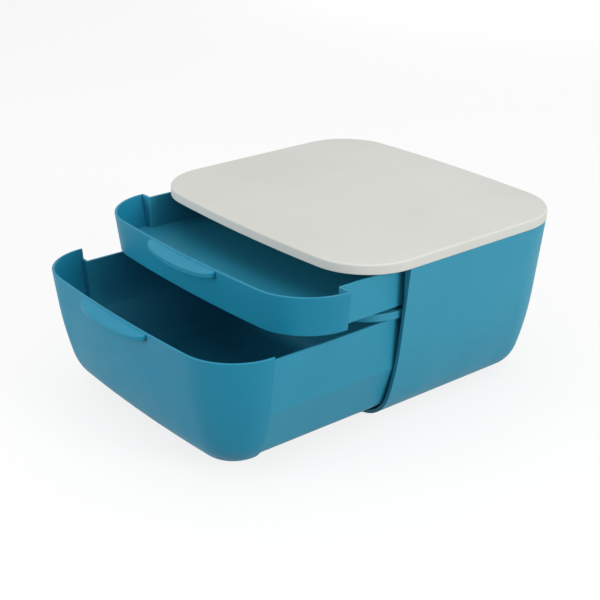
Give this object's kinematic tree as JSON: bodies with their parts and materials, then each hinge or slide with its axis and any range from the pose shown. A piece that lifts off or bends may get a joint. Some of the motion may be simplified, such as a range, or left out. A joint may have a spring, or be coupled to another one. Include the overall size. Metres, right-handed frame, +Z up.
{
  "type": "desk cabinet",
  "caption": "Low bowl-shaped plastic desk cabinet with a flat pale lid, a shallow drawer above a deep drawer, both standing partly open",
  "frame": {"origin": "on the desk, under the middle of the lid", "axes": "+X to the right as seen from the front, -Y out of the drawer fronts, +Z up"},
  "size_m": [0.367, 0.4885, 0.2],
  "materials": {
    "cabinet_blue": "satin moulded blue",
    "lid_grey": "fine matte pale grey",
    "drawer_blue": "satin moulded blue, a little deeper",
    "tray_blue": "satin moulded blue",
    "screw_steel": "zinc plated",
    "foot_rubber": "matte dark grey rubber"
  },
  "bodies": {
    "cabinet": {"housing": "cabinet_blue", "top_lid": "lid_grey", "shelf": "cabinet_blue", "lid_screws": "screw_steel", "shelf_screws": "screw_steel", "foot_front_left": "foot_rubber", "foot_front_right": "foot_rubber", "foot_rear_left": "foot_rubber", "foot_rear_right": "foot_rubber"},
    "upper_drawer": {"upper_front": "drawer_blue", "upper_tray": "tray_blue", "upper_front_screws": "screw_steel"},
    "lower_drawer": {"lower_front": "drawer_blue", "lower_tray": "tray_blue", "lower_front_screws": "screw_steel"}
  },
  "joints": [
    {"name": "upper_slide", "type": "slide", "parent": "cabinet", "child": "upper_drawer", "axis": [0, -1, 0], "range_m": [-0.076, 0.104]},
    {"name": "lower_slide", "type": "slide", "parent": "cabinet", "child": "lower_drawer", "axis": [0, -1, 0], "range_m": [-0.1635, 0.0165]}
  ]
}
